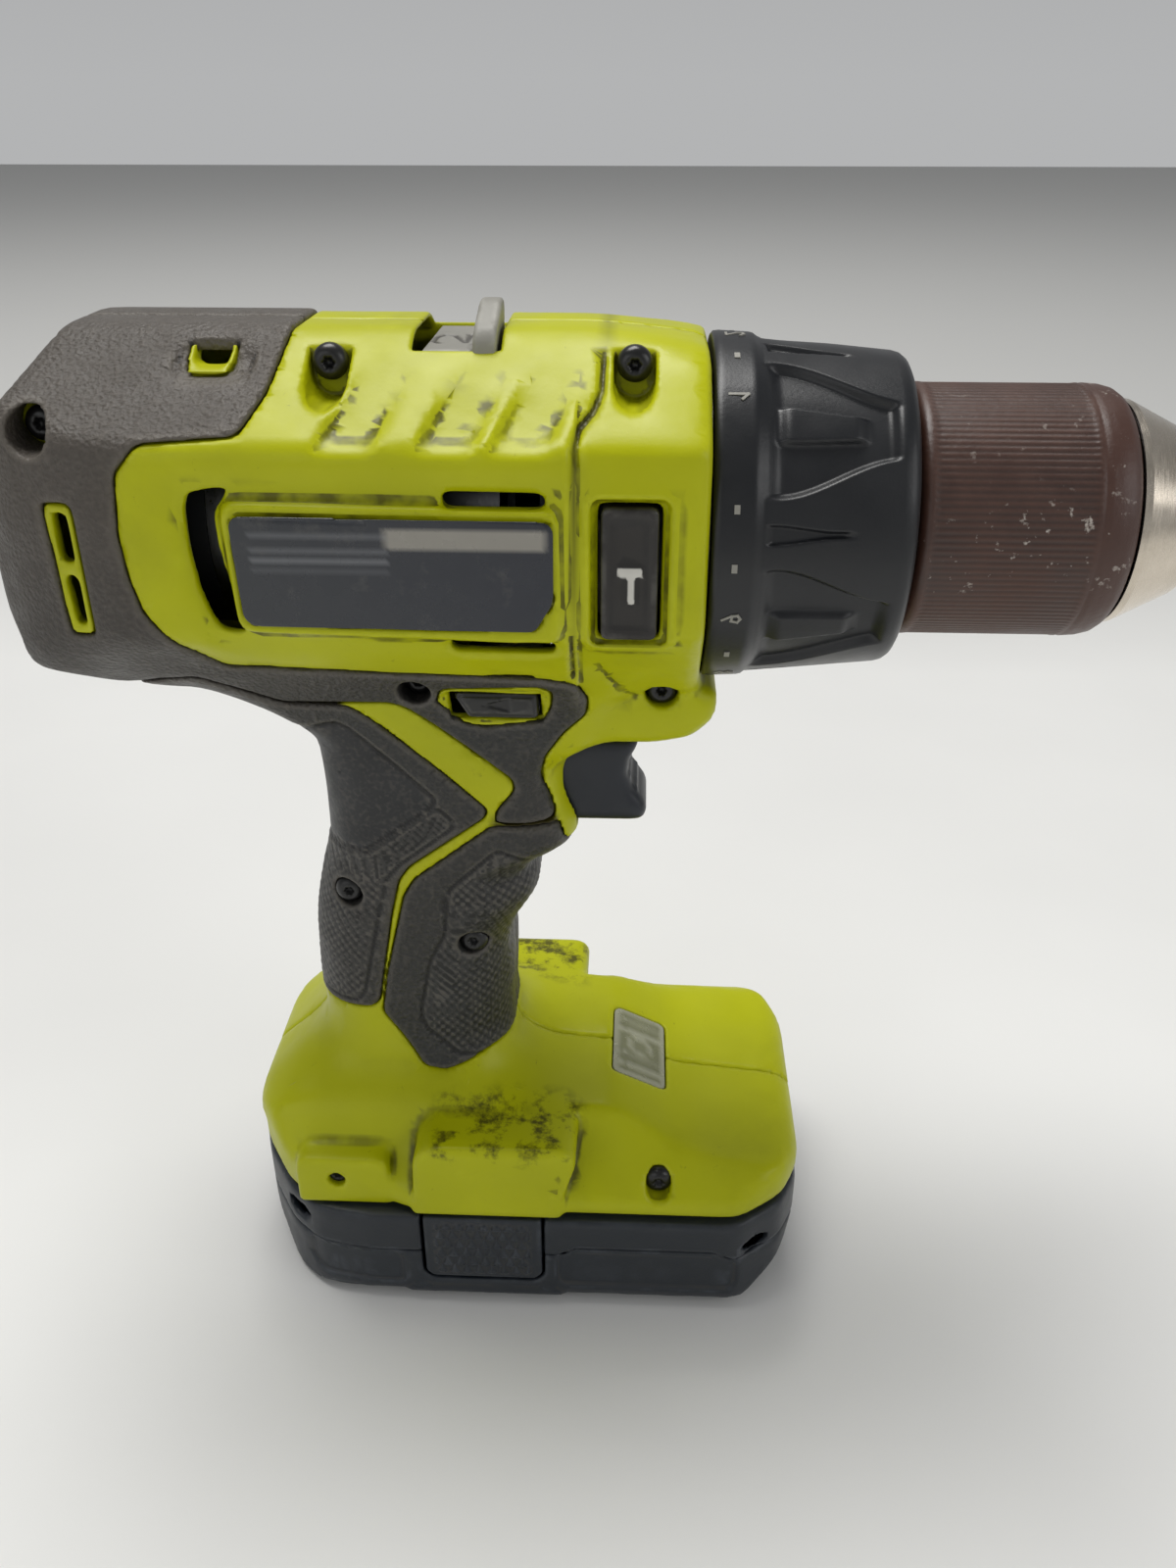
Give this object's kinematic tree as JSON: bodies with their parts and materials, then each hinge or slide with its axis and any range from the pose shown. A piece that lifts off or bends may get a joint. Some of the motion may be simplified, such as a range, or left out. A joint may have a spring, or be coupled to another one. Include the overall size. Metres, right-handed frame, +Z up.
{
  "type": "cordless drill",
  "caption": "Pistol-grip cordless hammer drill with torque collar, keyless chuck, soft grips and a stem battery that clips into the base.",
  "frame": {"origin": "on the battery's flat foot, at the middle of the base's length, in the plane where the housing halves meet", "axes": "+X forward along the spindle, +Y to the user's left, +Z up"},
  "size_m": [0.2015, 0.074, 0.1988],
  "materials": {
    "shell_yellow": "glass-filled nylon, fine moulded grain, scuffed",
    "soft_grip": "coarse textured thermoplastic elastomer",
    "badge_black": "smooth printed panel",
    "screw_black": "black oxide",
    "steel": "machined",
    "dark_steel": "phosphated",
    "copper": "enamelled wire and segments",
    "magnet": "ferrite",
    "carbon": "pressed carbon",
    "black_plastic": "moulded, lightly worn",
    "slate_plastic": "moulded battery case",
    "grey_plastic": "moulded acetal",
    "gear_case_alloy": "die cast",
    "chuck_sleeve": "worn, fine axial lines",
    "lens": "moulded clear lens",
    "board_green": "printed circuit board",
    "wire_red": "silicone sleeve",
    "cell_wrap": "shrink sleeve"
  },
  "bodies": {
    "housing": {"housing_right": "shell_yellow", "housing_left": "shell_yellow", "overmold_right": "soft_grip", "overmold_left": "soft_grip", "handle_grip_right": "soft_grip", "handle_grip_left": "soft_grip", "side_panels": "badge_black", "housing_screws": "screw_black", "motor_can": "steel", "motor_magnets": "magnet", "brush_holder": "black_plastic", "carbon_brushes": "carbon", "motor_bearings": "steel", "gear_case": "gear_case_alloy", "ring_gears": "dark_steel", "spindle_bearings": "steel", "clutch_springs": "steel", "clutch_plate": "steel", "collar_retainer": "black_plastic", "ratchet_fixed": "dark_steel", "switch_module": "black_plastic", "trigger_spring": "steel", "terminal_block": "black_plastic", "led_lens": "lens", "led_board": "board_green", "power_leads": "wire_red"},
    "armature": {"armature_shaft": "steel", "armature_core": "dark_steel", "armature_windings": "copper", "commutator": "copper", "cooling_fan": "black_plastic", "motor_pinion": "steel"},
    "carrier_first": {"first_carrier": "steel"},
    "spindle": {"output_spindle": "steel", "ratchet_rotating": "dark_steel", "chuck_body": "dark_steel", "chuck_nose": "steel", "chuck_screw": "screw_black"},
    "sleeve": {"chuck_sleeve": "chuck_sleeve", "jaw_nut": "steel"},
    "torque_collar": {"torque_collar": "black_plastic"},
    "clutch_nut": {"clutch_nut": "black_plastic"},
    "trigger": {"trigger": "black_plastic"},
    "direction_selector": {"direction_selector": "grey_plastic"},
    "speed_selector": {"speed_selector": "grey_plastic"},
    "mode_button": {"mode_button": "black_plastic"},
    "battery": {"battery_case_upper": "slate_plastic", "battery_case_lower": "slate_plastic", "battery_cells": "cell_wrap"},
    "latch_right": {"battery_latch_right": "slate_plastic"},
    "latch_left": {"battery_latch_left": "slate_plastic"},
    "planet_first_1": {"planet_first_1": "steel"},
    "planet_first_2": {"planet_first_2": "steel"},
    "planet_first_3": {"planet_first_3": "steel"},
    "planet_second_1": {"planet_second_1": "steel"},
    "planet_second_2": {"planet_second_2": "steel"},
    "planet_second_3": {"planet_second_3": "steel"},
    "jaw_1": {"chuck_jaw_1": "steel"},
    "jaw_2": {"chuck_jaw_2": "steel"},
    "jaw_3": {"chuck_jaw_3": "steel"}
  },
  "joints": [
    {"name": "armature_spin", "type": "hinge", "parent": "housing", "child": "armature", "pos_m": [0, 0, 0.1635], "axis": [1, 0, 0], "continuous": true},
    {"name": "carrier_spin", "type": "hinge", "parent": "housing", "child": "carrier_first", "pos_m": [0.017, 0, 0.1635], "axis": [1, 0, 0], "continuous": true},
    {"name": "spindle_spin", "type": "hinge", "parent": "housing", "child": "spindle", "pos_m": [0.09, 0, 0.1635], "axis": [1, 0, 0], "continuous": true},
    {"name": "planet_first_1_spin", "type": "hinge", "parent": "carrier_first", "child": "planet_first_1", "pos_m": [0.012, 0.01125, 0.1635], "axis": [1, 0, 0], "continuous": true},
    {"name": "planet_first_2_spin", "type": "hinge", "parent": "carrier_first", "child": "planet_first_2", "pos_m": [0.012, -0.00562, 0.17324], "axis": [1, 0, 0], "continuous": true},
    {"name": "planet_first_3_spin", "type": "hinge", "parent": "carrier_first", "child": "planet_first_3", "pos_m": [0.012, -0.00562, 0.15376], "axis": [1, 0, 0], "continuous": true},
    {"name": "planet_second_1_spin", "type": "hinge", "parent": "spindle", "child": "planet_second_1", "pos_m": [0.0225, 0.01125, 0.1635], "axis": [1, 0, 0], "continuous": true},
    {"name": "planet_second_2_spin", "type": "hinge", "parent": "spindle", "child": "planet_second_2", "pos_m": [0.0225, -0.00562, 0.17324], "axis": [1, 0, 0], "continuous": true},
    {"name": "planet_second_3_spin", "type": "hinge", "parent": "spindle", "child": "planet_second_3", "pos_m": [0.0225, -0.00562, 0.15376], "axis": [1, 0, 0], "continuous": true},
    {"name": "sleeve_turn", "type": "hinge", "parent": "spindle", "child": "sleeve", "pos_m": [0.085, 0, 0.1635], "axis": [1, 0, 0], "range_deg": [0, 2880]},
    {"name": "jaw_1_slide", "type": "slide", "parent": "spindle", "child": "jaw_1", "axis": [0.9659, 0, -0.2588], "range_m": [0, 0.0193]},
    {"name": "jaw_2_slide", "type": "slide", "parent": "spindle", "child": "jaw_2", "axis": [0.9659, 0.2241, 0.1294], "range_m": [0, 0.0193]},
    {"name": "jaw_3_slide", "type": "slide", "parent": "spindle", "child": "jaw_3", "axis": [0.9659, -0.2241, 0.1294], "range_m": [0, 0.0193]},
    {"name": "torque_collar_turn", "type": "hinge", "parent": "housing", "child": "torque_collar", "pos_m": [0.05, 0, 0.1635], "axis": [1, 0, 0], "range_deg": [-150, 150]},
    {"name": "clutch_nut_slide", "type": "slide", "parent": "housing", "child": "clutch_nut", "axis": [1, 0, 0], "range_m": [-0.0024, 0.0024], "deforming": ["clutch_springs"]},
    {"name": "trigger_slide", "type": "slide", "parent": "housing", "child": "trigger", "axis": [-1, 0, 0], "range_m": [0, 0.006], "stiffness_N_per_m": 700, "springref_m": -0.006, "deforming": ["trigger_spring"]},
    {"name": "direction_selector_slide", "type": "slide", "parent": "housing", "child": "direction_selector", "axis": [0, 1, 0], "range_m": [-0.0025, 0.0025]},
    {"name": "speed_selector_slide", "type": "slide", "parent": "housing", "child": "speed_selector", "axis": [-1, 0, 0], "range_m": [0, 0.008]},
    {"name": "mode_button_slide", "type": "slide", "parent": "housing", "child": "mode_button", "axis": [0, 1, 0], "range_m": [0, 0.0024]},
    {"name": "battery_slide", "type": "slide", "parent": "housing", "child": "battery", "axis": [0, 0, -1], "range_m": [0, 0.056]},
    {"name": "latch_right_press", "type": "slide", "parent": "battery", "child": "latch_right", "axis": [0, 1, 0], "range_m": [0, 0.0022], "stiffness_N_per_m": 500, "springref_m": -0.002},
    {"name": "latch_left_press", "type": "slide", "parent": "battery", "child": "latch_left", "axis": [0, -1, 0], "range_m": [0, 0.0022], "stiffness_N_per_m": 500, "springref_m": -0.002}
  ],
  "couplings": [
    {"joint": "carrier_spin", "follows": "armature_spin", "ratio": 0.2},
    {"joint": "spindle_spin", "follows": "armature_spin", "ratio": 0.04},
    {"joint": "planet_first_1_spin", "follows": "armature_spin", "ratio": -0.53333},
    {"joint": "planet_second_1_spin", "follows": "armature_spin", "ratio": -0.10667},
    {"joint": "planet_first_2_spin", "follows": "armature_spin", "ratio": -0.53333},
    {"joint": "planet_second_2_spin", "follows": "armature_spin", "ratio": -0.10667},
    {"joint": "planet_first_3_spin", "follows": "armature_spin", "ratio": -0.53333},
    {"joint": "planet_second_3_spin", "follows": "armature_spin", "ratio": -0.10667},
    {"joint": "jaw_1_slide", "follows": "sleeve_turn", "m_per_rad": 0.000383},
    {"joint": "jaw_2_slide", "follows": "sleeve_turn", "m_per_rad": 0.000383},
    {"joint": "jaw_3_slide", "follows": "sleeve_turn", "m_per_rad": 0.000383},
    {"joint": "clutch_nut_slide", "follows": "torque_collar_turn", "m_per_rad": 0.0009}
  ]
}
